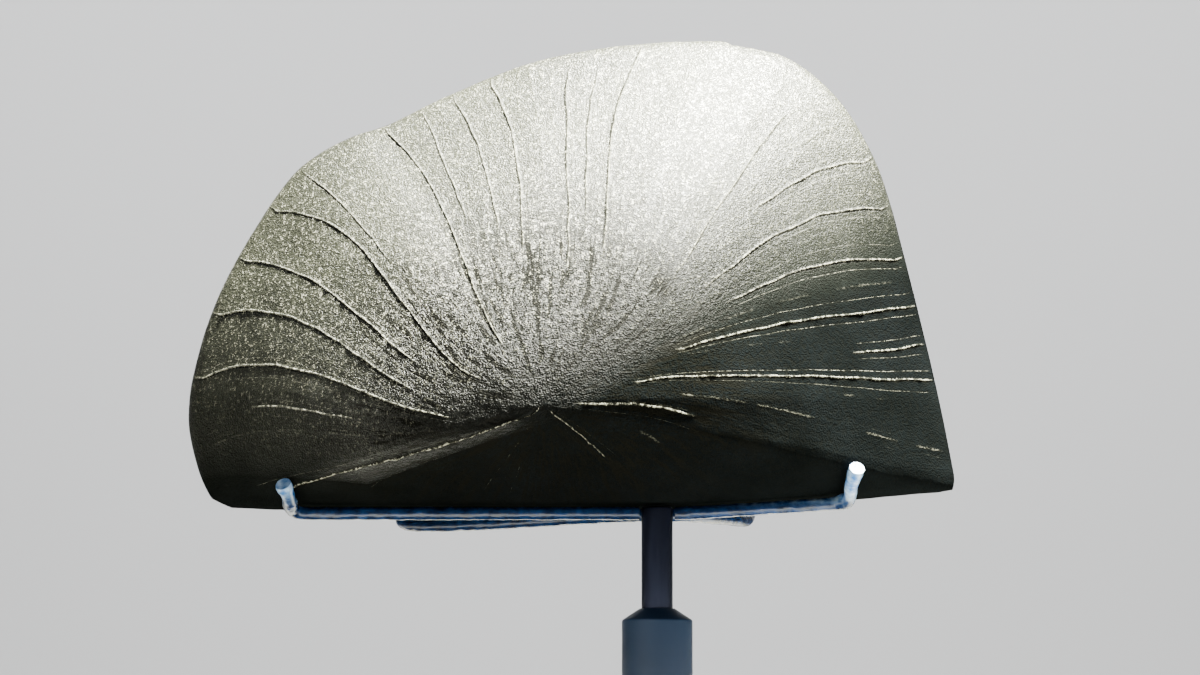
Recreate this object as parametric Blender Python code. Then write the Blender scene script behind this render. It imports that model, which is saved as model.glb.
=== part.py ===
"""A stone meteorite shaped by its flight, standing on a small rod stand.

The stone is one solid. Its front is a blunt shield whose nose sits low, and thin ridges of once
molten crust run from the nose to the rim. Its back is a bulky dome with shallow thumb-print pits,
and its underside is a flat foot. Two front arms and one rear yoke, all bent rod, cradle the foot
and turn up into prongs. They meet a stem, which stands in a post on a round base.

Metres in Blender, millimetres in the values below. +Z is up, the front faces -Y, and the origin is
under the middle of the base, on the stem's axis.
"""

import bisect
import math

import bmesh
import bpy
from mathutils import Vector, noise

MM = 0.001

# Heights of the stand, from the surface it stands on.
BASE_RADIUS = 34.0
BASE_HEIGHT = 6.0
BASE_CHAMFER = 0.8
POST_RADIUS = 5.2
POST_SHOULDER = 26.0
POST_TOP = 27.8
SOCKET_FLOOR = 14.0
STEM_RADIUS = 2.3
STEM_CHAMFER = 0.4
ARM_RADIUS = 1.0
GAP = 0.3
STONE_FOOT = 43.0

# The rim of the stone seen from the front: x from the stem's axis, z above the foot.
RIM = (
    (-66.3, 1.2), (-68.2, 5.1), (-69.8, 11.3), (-69.9, 16.1), (-69.2, 20.6), (-67.4, 27.3),
    (-64.5, 34.5), (-60.5, 41.7), (-56.9, 47.4), (-52.6, 52.2), (-45.9, 56.1), (-40.5, 57.9),
    (-32.1, 62.0), (-24.2, 65.4), (-17.0, 67.9), (-8.4, 69.6), (0.6, 70.5), (9.8, 70.7),
    (11.6, 70.1), (18.8, 68.6), (23.8, 65.5), (28.8, 60.2), (32.9, 52.8), (35.3, 45.9),
    (37.3, 38.1), (39.3, 29.9), (41.3, 21.3), (43.0, 13.2), (44.6, 4.6),
)
RIM_CORNERS_BELOW = ((44.3, 2.4), (34.0, 1.9), (20.0, 1.0), (4.0, 0.0), (-63.5, 0.0))
RIM_STEPS = 6

# How the stone reaches forwards and backwards of its rim.
RIM_Y = 8.0
NOSE_X = -16.7
NOSE_Z = 14.3
NOSE_REACH = 40.0
NOSE_ROUND = 0.36
BACK_X = -9.0
BACK_Z = 31.0
BACK_REACH = 33.0
BACK_POWER = 2.6
BACK_WIDE = 54.0
BACK_TALL = 35.0
RIM_HALF = 1.3
LIP_WIDTH = 2.0
FOOT_FRONT = 12.0
FOOT_BACK = 16.0
FOOT_MIDDLE = -11.0
FOOT_HALF = 55.0
FOOT_POWER = 2.5
FOOT_FADE = 6.0

# The shoulder that runs across the front from the nose: (angle, spread above, spread below, mm).
SHOULDERS = ((4.0, 34.0, 13.0, 2.6), (196.0, 38.0, 11.0, 2.6))
SHOULDER_EDGE = 1.3

# The crust's main ridges, in order round the nose, in degrees from +X towards +Z:
# (angle at the rim, angle 0.6 of the way out, angle 0.25 of the way out, start, end, height).
RIDGE_STATIONS = (1.0, 0.6, 0.25)
RIDGES = (
    (5.0, 8.0, 19.5, 0.24, 1.00, 0.42),
    (10.0, 12.5, 21.0, 0.80, 1.00, 0.30),
    (16.0, 19.5, 24.5, 0.34, 1.00, 0.42),
    (23.5, 29.0, 28.5, 0.50, 1.00, 0.32),
    (31.0, 36.5, 32.0, 0.46, 1.00, 0.38),
    (38.0, 42.5, 36.0, 0.66, 1.00, 0.32),
    (50.0, 48.5, 40.0, 0.40, 0.92, 0.30),
    (75.0, 74.0, 62.0, 0.36, 1.00, 0.36),
    (81.0, 79.0, 70.0, 0.46, 0.98, 0.28),
    (86.0, 83.5, 77.0, 0.34, 0.98, 0.40),
    (99.0, 96.0, 100.0, 0.42, 1.00, 0.38),
    (106.0, 103.5, 107.0, 0.52, 1.00, 0.34),
    (112.0, 112.0, 114.0, 0.60, 1.00, 0.28),
    (119.0, 117.0, 122.0, 0.18, 1.00, 0.42),
    (135.0, 136.0, 143.0, 0.60, 1.00, 0.28),
    (143.0, 140.0, 155.0, 0.16, 1.00, 0.42),
    (153.0, 153.0, 167.0, 0.36, 1.00, 0.38),
    (163.0, 162.5, 180.0, 0.34, 1.00, 0.40),
    (174.0, 172.5, 187.0, 0.24, 1.00, 0.40),
    (181.0, 182.0, 196.0, 0.50, 0.86, 0.26),
    (197.0, 197.5, 217.0, 0.07, 0.92, 0.42),
    (322.0, 327.0, 334.0, 0.08, 0.42, 0.40),
    (350.0, 352.0, 365.0, 0.12, 0.42, 0.36),
)
RIDGE_HALF_WIDTH = 0.55
RIDGE_FADE = 0.10
RIDGE_SHARE_OF_GAP = 0.3
FILL_SPACING = 7.5
TURN_SAMPLES = 60

# Rings from nose to rim, and from rim to the middle of the back.
FRONT_RINGS = 17
FRONT_FIRST_RING = 0.07
LIP_STEPS = (0.6, 0.9, 1.0)
BACK_RINGS = 9
BACK_LAST_RING = 0.10

# Thumb-print pits in the back: (x, z, radius, depth).
PITS = (
    (-38.0, 40.0, 15.0, 1.7), (-18.0, 52.0, 13.0, 1.4), (4.0, 47.0, 14.0, 1.8), (20.0, 30.0, 13.0, 1.5),
    (-2.0, 24.0, 15.0, 1.6), (-28.0, 22.0, 14.0, 1.8), (-50.0, 21.0, 12.0, 1.3), (22.0, 51.0, 10.0, 1.2),
)
LUMP_SIZE = 17.0
LUMP_HEIGHT = 0.8

# Where the prongs stand: x from the stem, and how high the tips reach over the foot.
FRONT_LEFT_X = -53.6
FRONT_LEFT_TIP = 3.4
FRONT_RIGHT_X = 28.0
FRONT_RIGHT_TIP = 5.0
REAR_LEFT_X = -38.4
REAR_RIGHT_X = 14.2
REAR_TIP = 8.5
YOKE_SAG = 0.8
PRONG_CLEARANCE = 0.55
EASING_ROUNDS = 12
ARM_SIDES = 10


def clear_scene():
    for old in list(bpy.data.objects):
        bpy.data.objects.remove(old)


def make_material(name, colour, roughness, metallic):
    material = bpy.data.materials.new(name)
    material.use_nodes = True
    shader = material.node_tree.nodes["Principled BSDF"]
    shader.inputs["Base Color"].default_value = (*colour, 1.0)
    shader.inputs["Roughness"].default_value = roughness
    shader.inputs["Metallic"].default_value = metallic
    material.diffuse_color = (*colour, 1.0)
    return material


def smooth_step(low, high, value):
    share = min(1.0, max(0.0, (value - low) / (high - low)))
    return share * share * (3.0 - 2.0 * share)


def catmull_rom(before, start, end, after, share):
    """A point between start and end, on the smooth curve through all four."""
    s2 = share * share
    s3 = s2 * share
    return tuple(
        0.5 * (2 * b + (c - a) * share + (2 * a - 5 * b + 4 * c - d) * s2 + (3 * b - a - 3 * c + d) * s3)
        for a, b, c, d in zip(before, start, end, after)
    )


def smooth_route(points, steps):
    """The points joined by a smooth curve, with steps pieces to each stretch."""
    ends = [points[0], *points, points[-1]]
    route = [
        catmull_rom(*ends[i : i + 4], step / steps)
        for i in range(len(points) - 1)
        for step in range(steps)
    ]
    return [*route, points[-1]]


def closed_rim():
    """The rim as a closed line: curved round the sides and top, straight along the foot."""
    return [*smooth_route(RIM, RIM_STEPS), *RIM_CORNERS_BELOW, RIM[0]]


RIM_LINE = closed_rim()


def rim_towards(centre_x, centre_z, angle):
    """Where the rim is met by a ray from a point inside it."""
    along_x, along_z = math.cos(angle), math.sin(angle)
    reach = 0.0
    for (x0, z0), (x1, z1) in zip(RIM_LINE, RIM_LINE[1:]):
        edge_x, edge_z = x1 - x0, z1 - z0
        cross = along_x * edge_z - along_z * edge_x
        if abs(cross) < 1e-9:
            continue
        distance = ((x0 - centre_x) * edge_z - (z0 - centre_z) * edge_x) / cross
        share = ((x0 - centre_x) * along_z - (z0 - centre_z) * along_x) / cross
        if -1e-6 <= share <= 1.0 + 1e-6:
            reach = max(reach, distance)
    return centre_x + reach * along_x, centre_z + reach * along_z, reach


def foot_share(x, z):
    """How far the rim opens into the flat foot there: 1 under the middle, 0 round the sides."""
    spread = min(1.0, abs(x - FOOT_MIDDLE) / FOOT_HALF)
    return (1.0 - spread**FOOT_POWER) * (1.0 - smooth_step(0.0, FOOT_FADE, z - 1.0))


def shoulder(angle_deg, share):
    bulge = 0.0
    for middle, above, below, height in SHOULDERS:
        turn = (angle_deg - middle + 180.0) % 360.0 - 180.0
        upwards = turn if middle < 90.0 else -turn
        spread = above if upwards > 0.0 else below
        bulge += height * math.exp(-(abs(turn / spread) ** SHOULDER_EDGE))
    return bulge * math.sin(math.pi * share) * smooth_step(0.0, 0.3, share)


def lip(reach, share):
    """How far the surface has curled away from its own slope, close to the rim."""
    start = 1.0 - LIP_WIDTH / reach
    curled = min(1.0, max(0.0, (share - start) / (1.0 - start)))
    return RIM_HALF * (1.0 - math.sqrt(1.0 - curled * curled))


def front_point(angle, share):
    """A point of the smooth front, share of the way from the nose to the rim."""
    rim_x, rim_z, reach = rim_towards(NOSE_X, NOSE_Z, angle)
    rim_reach = RIM_HALF + (FOOT_FRONT - RIM_HALF) * foot_share(rim_x, rim_z)
    fall = (math.hypot(share, NOSE_ROUND) - NOSE_ROUND) / (math.hypot(1.0, NOSE_ROUND) - NOSE_ROUND)
    forward = rim_reach + (NOSE_REACH - rim_reach) * (1.0 - fall)
    forward += shoulder(math.degrees(angle) % 360.0, share) - lip(reach, share)
    return Vector((
        NOSE_X + share * reach * math.cos(angle),
        RIM_Y - forward,
        NOSE_Z + share * reach * math.sin(angle),
    ))


def back_depth(x, z, share, rim_x, rim_z):
    rim_depth = RIM_HALF + (FOOT_BACK - RIM_HALF) * foot_share(rim_x, rim_z)
    oval = math.hypot((x - BACK_X) / BACK_WIDE, (z - BACK_Z) / BACK_TALL)
    inner = (1.0 - share**4) * oval**BACK_POWER + share**4 * share**BACK_POWER
    depth = rim_depth + (BACK_REACH - rim_depth) * (1.0 - inner)
    depth -= lip(math.hypot(rim_x - BACK_X, rim_z - BACK_Z), share)
    inside = 1.0 - smooth_step(0.75, 1.0, share)
    for pit_x, pit_z, radius, pit_depth in PITS:
        away = math.hypot(x - pit_x, z - pit_z) / radius
        depth -= inside * pit_depth * math.exp(-3.0 * away * away)
    lump = noise.noise(Vector((x / LUMP_SIZE, 7.3, z / LUMP_SIZE)))
    return depth + inside * LUMP_HEIGHT * lump


def back_point(rim_x, rim_z, share):
    x = BACK_X + share * (rim_x - BACK_X)
    z = BACK_Z + share * (rim_z - BACK_Z)
    return Vector((x, RIM_Y + back_depth(x, z, share, rim_x, rim_z), z))


def front_at(x, z):
    """The front's point at that place in the front view."""
    angle = math.atan2(z - NOSE_Z, x - NOSE_X)
    reach = rim_towards(NOSE_X, NOSE_Z, angle)[2]
    return front_point(angle, math.hypot(x - NOSE_X, z - NOSE_Z) / reach)


def back_at(x, z):
    """The back's point at that place in the front view."""
    rim_x, rim_z, reach = rim_towards(BACK_X, BACK_Z, math.atan2(z - BACK_Z, x - BACK_X))
    return back_point(rim_x, rim_z, math.hypot(x - BACK_X, z - BACK_Z) / reach)


def stand_off(surface, x, z, side, distance):
    """The point that far out from a surface of the stone; side is -1 in front and 1 behind."""
    step = 0.05
    here = surface(x, z)
    along_x = surface(x + step, z) - here
    along_z = surface(x, z + step) - here
    normal = along_x.cross(along_z).normalized()
    if normal.y * side < 0.0:
        normal.negate()
    return here + normal * distance


def ridge_angle(row, share):
    """A ridge's angle round the nose, from the parabola through its three stations."""
    s = max(share, RIDGE_STATIONS[2])
    total = 0.0
    for i, station in enumerate(RIDGE_STATIONS):
        weight = 1.0
        for j, other in enumerate(RIDGE_STATIONS):
            if j != i:
                weight *= (s - other) / (station - other)
        total += weight * row[i]
    return total


def ridge_height(row, share):
    start, end, height = row[3:]
    rise = smooth_step(start, start + RIDGE_FADE, share)
    fall = 1.0 - smooth_step(end - RIDGE_FADE, end, share) if end < 1.0 else 1.0
    return height * rise * fall


def fill_shares(start_deg, turn):
    """Shares of a turn round the nose that cut the rim there into equal lengths."""
    samples = [i / TURN_SAMPLES for i in range(TURN_SAMPLES + 1)]
    places = [rim_towards(NOSE_X, NOSE_Z, math.radians(start_deg + turn * share))[:2] for share in samples]
    lengths = [0.0]
    for (x0, z0), (x1, z1) in zip(places, places[1:]):
        lengths.append(lengths[-1] + math.hypot(x1 - x0, z1 - z0))
    count = int(lengths[-1] / FILL_SPACING)
    wanted = [lengths[-1] * i / (count + 1) for i in range(1, count + 1)]
    return [samples[min(bisect.bisect_left(lengths, length), TURN_SAMPLES)] for length in wanted]


def front_columns():
    """The mesh's lines from nose to rim: (ridge before, ridge after, share between, side of a crest)."""
    columns = []
    for i, row in enumerate(RIDGES):
        following = (i + 1) % len(RIDGES)
        turn = (RIDGES[following][0] - row[0]) % 360.0
        columns += [(i, i, 0.0, 0), (i, following, 0.0, 1)]
        columns += [(i, following, share, 0) for share in fill_shares(row[0], turn)]
        columns.append((i, following, 1.0, -1))
    return columns


def column_point(column, share, lip_step=0.0):
    """A column's point on the front, with the ridge's height where it is a crest.

    The share runs to the inside of the lip, and lip_step then runs across the lip to the rim.
    """
    before, after, between, side = column
    start = ridge_angle(RIDGES[before], share)
    turn = (ridge_angle(RIDGES[after], share) - start) % 360.0 if after != before else 0.0
    angle = math.radians(start + turn * between)
    if side:
        reach = max(0.5, share * rim_towards(NOSE_X, NOSE_Z, angle)[2])
        aside = min(math.degrees(RIDGE_HALF_WIDTH / reach), turn * RIDGE_SHARE_OF_GAP)
        angle += math.radians(aside) * side
    inside = 1.0 - LIP_WIDTH / rim_towards(NOSE_X, NOSE_Z, angle)[2]
    point = front_point(angle, share * inside + (1.0 - inside) * lip_step)
    if before == after:
        outward = Vector((math.cos(angle) * 0.6, -1.0, math.sin(angle) * 0.6)).normalized()
        point += outward * ridge_height(RIDGES[before], share) * (1.0 - lip_step)
    return point


def make_stone():
    mesh = bmesh.new()
    columns = front_columns()
    nose = mesh.verts.new(front_point(0.0, 0.0) * MM)
    rings = []
    for k in range(FRONT_RINGS):
        share = FRONT_FIRST_RING + (1.0 - FRONT_FIRST_RING) * k / (FRONT_RINGS - 1)
        rings.append([mesh.verts.new(column_point(c, share) * MM) for c in columns])
    for step in LIP_STEPS:
        rings.append([mesh.verts.new(column_point(c, 1.0, step) * MM) for c in columns])
    rim = [(vert.co.x / MM, vert.co.z / MM) for vert in rings[-1]]
    reaches = [math.hypot(x - BACK_X, z - BACK_Z) for x, z in rim]
    for step in reversed(LIP_STEPS):
        shares = [1.0 - (1.0 - step) * LIP_WIDTH / reach for reach in reaches]
        rings.append([mesh.verts.new(back_point(*place, share) * MM) for place, share in zip(rim, shares)])
    for k in range(BACK_RINGS):
        inside = 1.0 - (1.0 - BACK_LAST_RING) * (k / (BACK_RINGS - 1)) ** 1.2
        shares = [inside * (1.0 - LIP_WIDTH / reach) for reach in reaches]
        rings.append([mesh.verts.new(back_point(*place, share) * MM) for place, share in zip(rim, shares)])
    tail = mesh.verts.new(back_point(*RIM[0], 0.0) * MM)
    count = len(columns)
    for i in range(count):
        j = (i + 1) % count
        mesh.faces.new((nose, rings[0][i], rings[0][j]))
        mesh.faces.new((tail, rings[-1][j], rings[-1][i]))
        for ring, outer in zip(rings, rings[1:]):
            mesh.faces.new((ring[i], outer[i], outer[j], ring[j]))
    bmesh.ops.recalc_face_normals(mesh, faces=mesh.faces)
    return mesh


def turned(profile, sides):
    """A solid of revolution about Z, from (radius, height) pairs that start and end on the axis."""
    mesh = bmesh.new()
    rings = []
    for radius, height in profile:
        turns = range(sides) if radius > 0.0 else range(1)
        rings.append([
            mesh.verts.new((
                radius * MM * math.cos(math.tau * k / sides),
                radius * MM * math.sin(math.tau * k / sides),
                height * MM,
            ))
            for k in turns
        ])
    for low, high in zip(rings, rings[1:]):
        for k in range(sides):
            corners = [low[k % len(low)], low[(k + 1) % len(low)], high[(k + 1) % len(high)], high[k % len(high)]]
            mesh.faces.new(list(dict.fromkeys(corners)))
    bmesh.ops.recalc_face_normals(mesh, faces=mesh.faces)
    return mesh


def add_object(name, mesh, material, sharp_deg=35.0, height=0.0):
    data = bpy.data.meshes.new(name)
    mesh.to_mesh(data)
    mesh.free()
    data.materials.append(material)
    data.shade_smooth()
    data.set_sharp_from_angle(angle=math.radians(sharp_deg))
    made = bpy.data.objects.new(name, data)
    bpy.context.scene.collection.objects.link(made)
    made.location.z = height * MM
    return made


def add_arm(name, points, swell, material):
    """A bent rod through the points. swell is (place along it, extra radius share) pairs."""
    curve = bpy.data.curves.new(name, "CURVE")
    curve.dimensions = "3D"
    curve.bevel_depth = ARM_RADIUS * MM
    curve.bevel_resolution = ARM_SIDES // 2 - 2
    curve.use_fill_caps = True
    line = curve.splines.new("POLY")
    line.points.add(len(points) - 1)
    last = len(points) - 1
    for i, (point, place) in enumerate(zip(line.points, points)):
        point.co = (*(Vector(place) * MM), 1.0)
        extra = sum(more * math.exp(-(((i / last - at) / 0.045) ** 2)) for at, more in swell)
        point.radius = 1.0 + extra
    curve.materials.append(material)
    made = bpy.data.objects.new(name, curve)
    bpy.context.scene.collection.objects.link(made)
    made.location.z = STONE_FOOT * MM
    return made


def rim_height_under(x):
    """How high the foot's edge is over the foot's flat, at that x."""
    return rim_towards(x, NOSE_Z, -math.pi / 2)[1]


def arm_height(x):
    return rim_height_under(x) - GAP - ARM_RADIUS


def prong_points(surface, x, side, tip, count):
    """Points up a prong that stands clear of the stone, from just under its edge to the tip."""
    edge = rim_height_under(x)
    distance = ARM_RADIUS + PRONG_CLEARANCE
    return [
        stand_off(surface, x, edge + 0.4 + (tip - edge - 0.4) * i / (count - 1), side, distance)
        for i in range(count)
    ]


def eased(route):
    """The route with its sharp turns eased, so that a rod can follow it."""
    for _ in range(EASING_ROUNDS):
        threes = zip(route, route[1:], route[2:])
        middle = [tuple(float(a + 2 * b + c) / 4 for a, b, c in zip(*three)) for three in threes]
        route = [tuple(route[0]), *middle, tuple(route[-1])]
    return route


def front_arm(x, tip):
    """An arm from the stem's side to a front prong: along under the stone, then out and up."""
    heading = 1.0 if x > 0.0 else -1.0
    start_x = heading * (STEM_RADIUS + GAP)
    along = [start_x + (x - start_x) * k / 6.0 for k in range(6)]
    run = [(at, 0.0, arm_height(at)) for at in along]
    turn = [(x - heading * 2.2, 0.0, arm_height(x - heading * 2.2))]
    prong = [tuple(p) for p in prong_points(front_at, x, -1, tip, 4)]
    return eased(smooth_route([*run, *turn, *prong], 5))


def rear_yoke():
    """One rod behind the stem, from the rear left prong round to the rear right one."""
    behind = STEM_RADIUS + GAP + ARM_RADIUS
    level = -GAP - ARM_RADIUS
    sunk = level - YOKE_SAG
    left = [tuple(p) for p in prong_points(back_at, REAR_LEFT_X, 1, REAR_TIP, 4)]
    right = [tuple(p) for p in prong_points(back_at, REAR_RIGHT_X, 1, REAR_TIP, 4)]
    left_edge = RIM_Y + FOOT_BACK * foot_share(REAR_LEFT_X, 0.0)
    right_edge = RIM_Y + FOOT_BACK * foot_share(REAR_RIGHT_X, 0.0)
    middle = [
        (REAR_LEFT_X + 0.6, left_edge - 1.4, sunk),
        (-24.0, 15.5, sunk + 0.2),
        (-10.0, 7.6, level - 0.1),
        (-1.0, behind + 0.1, level),
        (5.0, behind + 2.4, level),
        (10.5, 12.0, level),
        (REAR_RIGHT_X - 0.3, right_edge - 2.0, level),
    ]
    return eased(smooth_route([*reversed(left), *middle, *right], 5))


def main():
    clear_scene()
    crust = make_material("fusion crust", (0.150, 0.148, 0.115), 0.42, 0.0)
    sleeve = make_material("blue sleeve over steel rod", (0.030, 0.130, 0.340), 0.30, 0.0)
    steel = make_material("blued steel rod", (0.050, 0.058, 0.085), 0.40, 0.9)
    paint = make_material("slate blue paint", (0.105, 0.165, 0.245), 0.50, 0.0)

    add_object("meteorite", make_stone(), crust, 60.0, STONE_FOOT)
    base = (
        (0.0, 0.0),
        (BASE_RADIUS - BASE_CHAMFER, 0.0),
        (BASE_RADIUS, BASE_CHAMFER),
        (BASE_RADIUS, BASE_HEIGHT - BASE_CHAMFER),
        (BASE_RADIUS - BASE_CHAMFER, BASE_HEIGHT),
        (0.0, BASE_HEIGHT),
    )
    add_object("base_plate", turned(base, 64), paint)
    socket_radius = STEM_RADIUS + GAP
    post = (
        (0.0, BASE_HEIGHT + GAP),
        (POST_RADIUS, BASE_HEIGHT + GAP),
        (POST_RADIUS, POST_SHOULDER),
        (socket_radius, POST_TOP),
        (socket_radius, SOCKET_FLOOR),
        (0.0, SOCKET_FLOOR),
    )
    add_object("post", turned(post, 40), paint)
    stem_top = STONE_FOOT - GAP
    stem = (
        (0.0, SOCKET_FLOOR + GAP),
        (STEM_RADIUS, SOCKET_FLOOR + GAP),
        (STEM_RADIUS, stem_top - STEM_CHAMFER),
        (STEM_RADIUS - STEM_CHAMFER, stem_top),
        (0.0, stem_top),
    )
    add_object("stem", turned(stem, 32), steel)
    add_arm("front_left_arm", front_arm(FRONT_LEFT_X, FRONT_LEFT_TIP), ((0.80, 0.15), (0.97, 0.3)), sleeve)
    add_arm("front_right_arm", front_arm(FRONT_RIGHT_X, FRONT_RIGHT_TIP), ((0.68, 0.28), (0.97, 0.2)), sleeve)
    add_arm("rear_yoke", rear_yoke(), (), sleeve)


main()
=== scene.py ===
"""The meteorite on its rod stand, with its fused crust in full detail.

Lengths are in millimetres until they reach Blender, in the row's frame: +Z up, front at -Y.
"""

import math
from functools import partial

import bpy
import numpy as np
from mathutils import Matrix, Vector, noise


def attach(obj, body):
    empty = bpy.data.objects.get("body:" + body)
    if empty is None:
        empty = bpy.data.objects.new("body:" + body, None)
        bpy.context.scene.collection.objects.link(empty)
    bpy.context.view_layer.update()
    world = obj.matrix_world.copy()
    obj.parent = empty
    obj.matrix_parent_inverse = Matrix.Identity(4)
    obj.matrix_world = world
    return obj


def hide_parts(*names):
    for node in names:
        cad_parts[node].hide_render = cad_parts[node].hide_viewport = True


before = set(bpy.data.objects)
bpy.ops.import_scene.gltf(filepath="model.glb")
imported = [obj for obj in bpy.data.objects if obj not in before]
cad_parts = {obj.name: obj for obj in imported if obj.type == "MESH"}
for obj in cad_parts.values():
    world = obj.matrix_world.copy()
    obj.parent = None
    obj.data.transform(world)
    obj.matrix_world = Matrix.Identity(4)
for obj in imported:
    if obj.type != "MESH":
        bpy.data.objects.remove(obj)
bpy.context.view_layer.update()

MM = 0.001

# The stand. STONE_FOOT is how high the stone's flat foot lies, and GAP is the room between pieces.
BASE_RADIUS = 34.0
BASE_HEIGHT = 6.0
POST_RADIUS = 5.2
POST_SHOULDER = 26.0
POST_TOP = 27.8
STEM_RADIUS = 2.3
ARM_RADIUS = 1.0
GAP = 0.3
STONE_FOOT = 43.0
SOCKET_DEPTH = 2.0
SOCKET_PLAY = 0.15
BASE_EDGE = 0.8
POST_EDGE = 0.25
STEM_EDGE = 0.4
BASE_SIDES = 160
POST_SIDES = 96
STEM_SIDES = 64
ARM_SIDES = 20
# A turned part's edge is sharp to the eye where it turns by more degrees than this, and a rounding
# takes at most this share of the line on either side of its corner.
SHARP_TURN = 35.0
ROUNDING_SHARE = 0.45

# The rim of the stone seen from the front: x from the stem's axis, z above the foot.
RIM = (
    (-66.3, 1.2), (-68.2, 5.1), (-69.8, 11.3), (-69.9, 16.1), (-69.2, 20.6), (-67.4, 27.3),
    (-64.5, 34.5), (-60.5, 41.7), (-56.9, 47.4), (-52.6, 52.2), (-45.9, 56.1), (-40.5, 57.9),
    (-32.1, 62.0), (-24.2, 65.4), (-17.0, 67.9), (-8.4, 69.6), (0.6, 70.5), (9.8, 70.7),
    (11.6, 70.1), (18.8, 68.6), (23.8, 65.5), (28.8, 60.2), (32.9, 52.8), (35.3, 45.9),
    (37.3, 38.1), (39.3, 29.9), (41.3, 21.3), (43.0, 13.2), (44.6, 4.6),
)
RIM_CORNERS_BELOW = ((44.3, 2.4), (34.0, 1.9), (20.0, 1.0), (4.0, 0.0), (-63.5, 0.0))
RIM_STEPS = 6
RIM_SPACING = 0.08

# How the stone reaches forwards and backwards of its rim.
RIM_Y = 8.0
NOSE_X = -16.7
NOSE_Z = 12.0
NOSE_REACH = 40.0
NOSE_ROUND = 0.36
BACK_X = -9.0
BACK_Z = 31.0
BACK_REACH = 33.0
BACK_POWER = 2.6
BACK_WIDE = 54.0
BACK_TALL = 35.0
RIM_HALF = 1.3
LIP_WIDTH = 2.0
FOOT_FRONT = 12.0
FOOT_BACK = 16.0
FOOT_MIDDLE = -11.0
FOOT_HALF = 55.0
FOOT_POWER = 2.5
FOOT_FADE = 6.0
FOOT_LIFT = 1.0

# The shoulder that runs across the front from the nose: (angle, spread above, spread below, mm).
SHOULDERS = ((4.0, 34.0, 13.0, 2.6), (197.0, 26.0, 11.0, 3.0))
SHOULDER_EDGE = 1.3
SHOULDER_START = 0.3
# The left shoulder's crest dips by so many degrees close to the nose, between these shares.
SHOULDER_DIP = 16.0
SHOULDER_DIP_SHARES = (0.05, 0.45)

# The crust's main ridges, in order round the nose, in degrees from +X towards +Z:
# (angle at the rim, angle 0.6 of the way out, angle 0.25 of the way out, start, end, height, and how
# much further round it bends close to the nose).
RIDGE_STATIONS = (1.0, 0.6, 0.25)
RIDGES = (
    (7.1, 9.3, 14.5, 0.22, 1.00, 0.42, 0.0),
    (12.2, 14.5, 21.0, 0.80, 1.00, 0.30, 0.0),
    (18.1, 21.4, 24.5, 0.34, 1.00, 0.42, 0.0),
    (25.5, 30.8, 28.5, 0.50, 1.00, 0.32, 0.0),
    (32.9, 38.2, 32.0, 0.46, 1.00, 0.38, 0.0),
    (39.7, 44.1, 36.0, 0.66, 1.00, 0.32, 0.0),
    (51.4, 49.8, 40.0, 0.40, 0.92, 0.30, 0.0),
    (75.6, 74.5, 62.0, 0.36, 1.00, 0.36, 0.0),
    (81.3, 79.3, 70.0, 0.46, 0.98, 0.28, 0.0),
    (86.2, 83.6, 77.0, 0.34, 0.98, 0.40, 0.0),
    (98.7, 95.7, 100.0, 0.42, 1.00, 0.38, 0.0),
    (105.4, 102.9, 107.0, 0.52, 1.00, 0.34, 0.0),
    (111.2, 111.3, 114.0, 0.60, 1.00, 0.28, 0.0),
    (117.9, 116.0, 122.0, 0.18, 1.00, 0.42, 0.0),
    (133.4, 134.6, 143.0, 0.60, 1.00, 0.28, 0.0),
    (141.2, 138.4, 155.0, 0.16, 1.00, 0.42, 0.0),
    (151.0, 151.2, 167.0, 0.36, 1.00, 0.38, 0.0),
    (160.9, 160.6, 180.0, 0.34, 1.00, 0.40, 0.0),
    (171.8, 170.5, 187.0, 0.24, 1.00, 0.40, 0.0),
    (178.8, 180.0, 196.0, 0.50, 0.86, 0.26, 0.0),
    (195.5, 197.5, 207.5, 0.02, 0.92, 0.42, 36.0),
    (320.0, 324.0, 325.0, 0.05, 0.62, 0.42, 0.0),
    (346.0, 352.0, 361.0, 0.06, 0.39, 0.36, 0.0),
)
# A ridge rises and dies out over the first share, and its bend near the nose lies between the others.
RIDGE_FADE = 0.06
RIDGE_BEND = (0.05, 0.24)
# A main ridge's height is this much of its full one, give or take that much.
RIDGE_EVEN = 0.85
RIDGE_UNEVEN = 0.3

# Fine ridges between the main ones: how far apart at the rim, how high, and the shares where each
# starts and ends. Each is shifted and sways by these shares of its room.
FINE_SPACING = 4.0
FINE_HEIGHT = (0.03, 0.11)
FINE_START = (0.25, 0.75)
FINE_END = (0.45, 1.20)
FINE_SHIFT = 0.22
FINE_SWAY = 0.10
FINE_SWAY_TURNS = 9.0
FINE_EVEN = 0.5
FINE_UNEVEN = 1.3
# Columns beside each crest: (mm from it, and at most this share of the way to the next ridge).
CREST_SIDES = ((0.09, 0.08), (0.18, 0.16), (0.32, 0.28))
FINE_SIDES = ((0.20, 0.22),)
FILL_WIDTH = 0.75
# A main ridge wanders by up to WOBBLE mm, and less within WOBBLE_FROM mm of the nose.
WOBBLE = 0.16
WOBBLE_FROM = 9.0
WANDER_KNOTS = 24
# Each ridge's dark line is a painted shadow. Ridges right of this cosine have it on the other side,
# which is the lower one.
LIGHT_SIDE = 0.5
# Rings of the mesh, closer together where the power crowds them.
FRONT_RINGS = 104
FRONT_FIRST_RING = 0.012
FRONT_CROWDING = 1.12
LIP_STEPS = (0.35, 0.65, 0.85, 0.96, 1.0)
FOOT_RINGS = 4
BACK_RINGS = 20
BACK_LAST_RING = 0.012
BACK_CROWDING = 1.15
SEAM_ANGLE = 262.0
MEAN_REACH = 55.0
NEAR_REACH = 0.5
# The distance from a ridge that stands for no ridge near.
FAR_ASIDE = 9.0

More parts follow.
